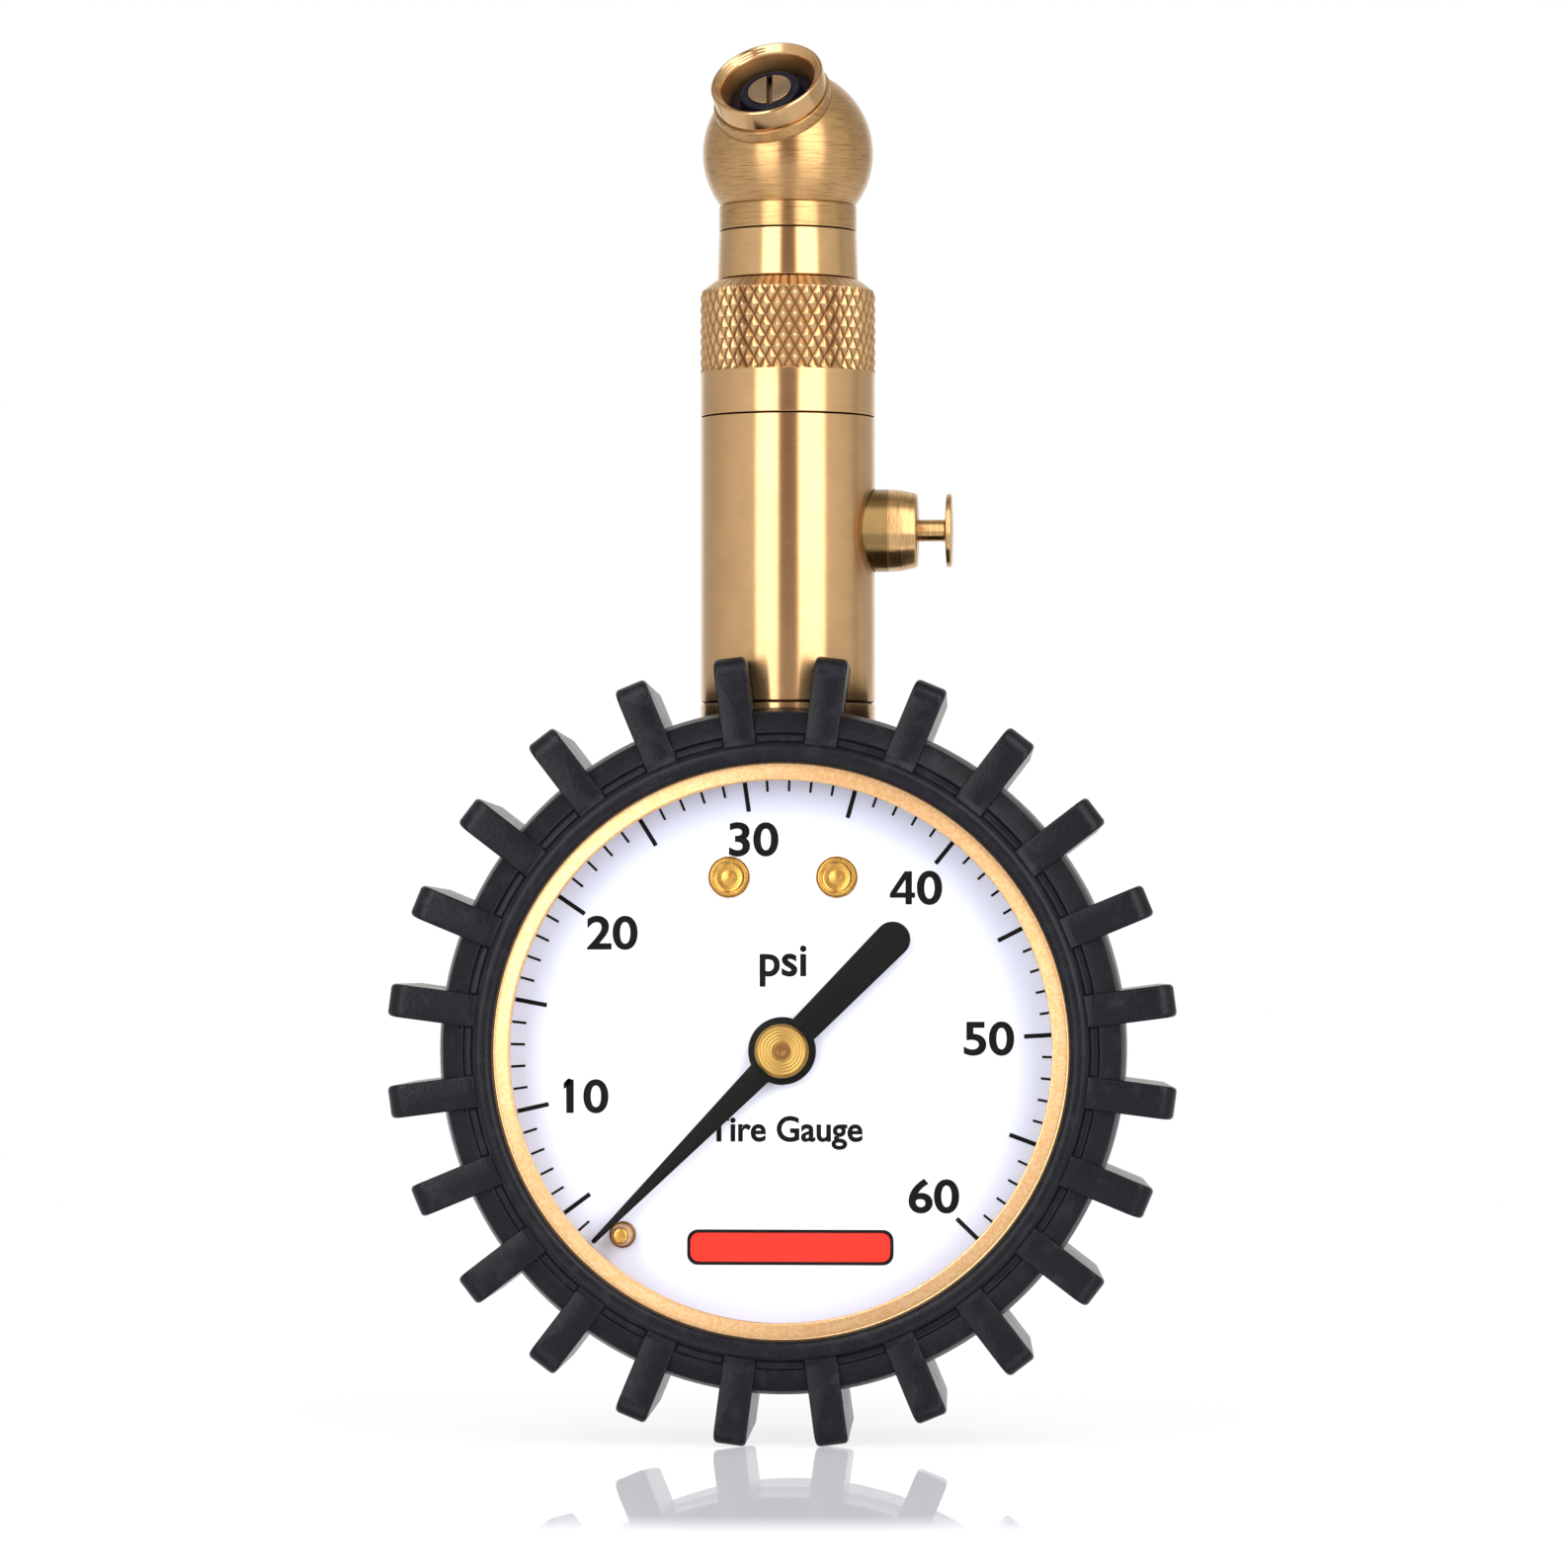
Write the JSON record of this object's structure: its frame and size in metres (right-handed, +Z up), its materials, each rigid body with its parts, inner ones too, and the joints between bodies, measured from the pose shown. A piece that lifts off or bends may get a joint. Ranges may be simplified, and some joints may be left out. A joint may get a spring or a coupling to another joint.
{
  "type": "dial tyre pressure gauge",
  "caption": "Dial pressure gauge for tyres: brass stem with a swivelling ball chuck, knurled gland nut, side bleeder button and a lugged rubber guard around the dial.",
  "frame": {"origin": "on the floor under the stem's axis, midway between the guard's front lip and its back; z = 0 is the tips of the two lowest lugs", "axes": "+Z up along the stem towards the chuck, -Y out of the dial, +X towards the bleeder button"},
  "size_m": [0.0708, 0.026, 0.1266],
  "materials": {
    "guard_rubber": "matte moulded",
    "seal_rubber": "smooth",
    "gold_plate": "soft brushed gold plate",
    "brass": "fine turned",
    "bright_brass": "fine turned",
    "copper": "satin",
    "steel": "satin",
    "dial_white": "satin printed enamel",
    "pointer_black": "satin enamel",
    "window": "clear",
    "nylon": "natural"
  },
  "bodies": {
    "gauge_body": {"guard": "guard_rubber", "case": "gold_plate", "bezel": "gold_plate", "lens": "window", "lens_gasket": "seal_rubber", "dial": "dial_white", "dial_screws": "bright_brass", "dial_spacers": "steel", "stop_pin": "bright_brass", "socket_block": "brass", "sealing_washer": "copper", "restrictor": "bright_brass", "bourdon_tube": "copper", "movement_back_plate": "bright_brass", "movement_front_plate": "bright_brass", "movement_pillars": "brass", "movement_screws": "steel", "hairspring": "steel", "hairspring_stud": "brass", "case_screws": "steel", "blowout_plug": "seal_rubber", "stem": "brass", "gland_nut": "brass", "check_seat": "bright_brass", "check_spring": "steel", "bleeder_boss": "brass", "bleeder_spring": "steel"},
    "pointer_set": {"pointer": "pointer_black", "pointer_cap": "bright_brass", "pointer_arbor": "steel"},
    "sector_set": {"sector_gear": "bright_brass", "sector_arbor": "steel", "tail_pin": "bright_brass"},
    "tip_set": {"tube_tip": "brass", "link": "steel", "link_pin": "bright_brass"},
    "button_set": {"bleeder_button": "bright_brass", "bleeder_seal": "seal_rubber"},
    "check_valve": {"check_poppet": "seal_rubber"},
    "swivel_head": {"neck": "brass", "thrust_washer": "nylon", "swivel_o_ring": "seal_rubber", "ball_head": "brass", "chuck_ring": "brass", "valve_seal": "seal_rubber", "depressor": "bright_brass"}
  },
  "joints": [
    {"name": "pointer_turn", "type": "hinge", "parent": "gauge_body", "child": "pointer_set", "pos_m": [0, 0, 0.03536], "axis": [0, 1, 0], "range_deg": [0, 269], "stiffness_Nm_per_rad": 0.00004, "springref_deg": -17.19, "deforming": ["hairspring"]},
    {"name": "sector_turn", "type": "hinge", "parent": "gauge_body", "child": "sector_set", "pos_m": [-0.00929, 0, 0.02209], "axis": [0, 1, 0], "range_deg": [-34, 0.5]},
    {"name": "tip_swing", "type": "hinge", "parent": "gauge_body", "child": "tip_set", "pos_m": [0.03503, 0, -0.00916], "axis": [0, 1, 0], "range_deg": [-3.42, 0.1], "deforming": ["bourdon_tube"]},
    {"name": "bleeder_press", "type": "slide", "parent": "gauge_body", "child": "button_set", "axis": [-1, 0, 0], "range_m": [0, 0.002], "stiffness_N_per_m": 900, "springref_m": -0.002, "deforming": ["bleeder_spring"]},
    {"name": "check_open", "type": "slide", "parent": "gauge_body", "child": "check_valve", "axis": [0, 0, -1], "range_m": [0, 0.001], "stiffness_N_per_m": 150, "springref_m": -0.0015, "deforming": ["check_spring"]},
    {"name": "head_swivel", "type": "hinge", "parent": "gauge_body", "child": "swivel_head", "pos_m": [0, 0, 0.1], "axis": [0, 0, 1], "continuous": true}
  ],
  "couplings": [
    {"joint": "sector_turn", "follows": "pointer_turn", "ratio": -0.125},
    {"joint": "tip_swing", "follows": "pointer_turn", "ratio": -0.012323}
  ]
}
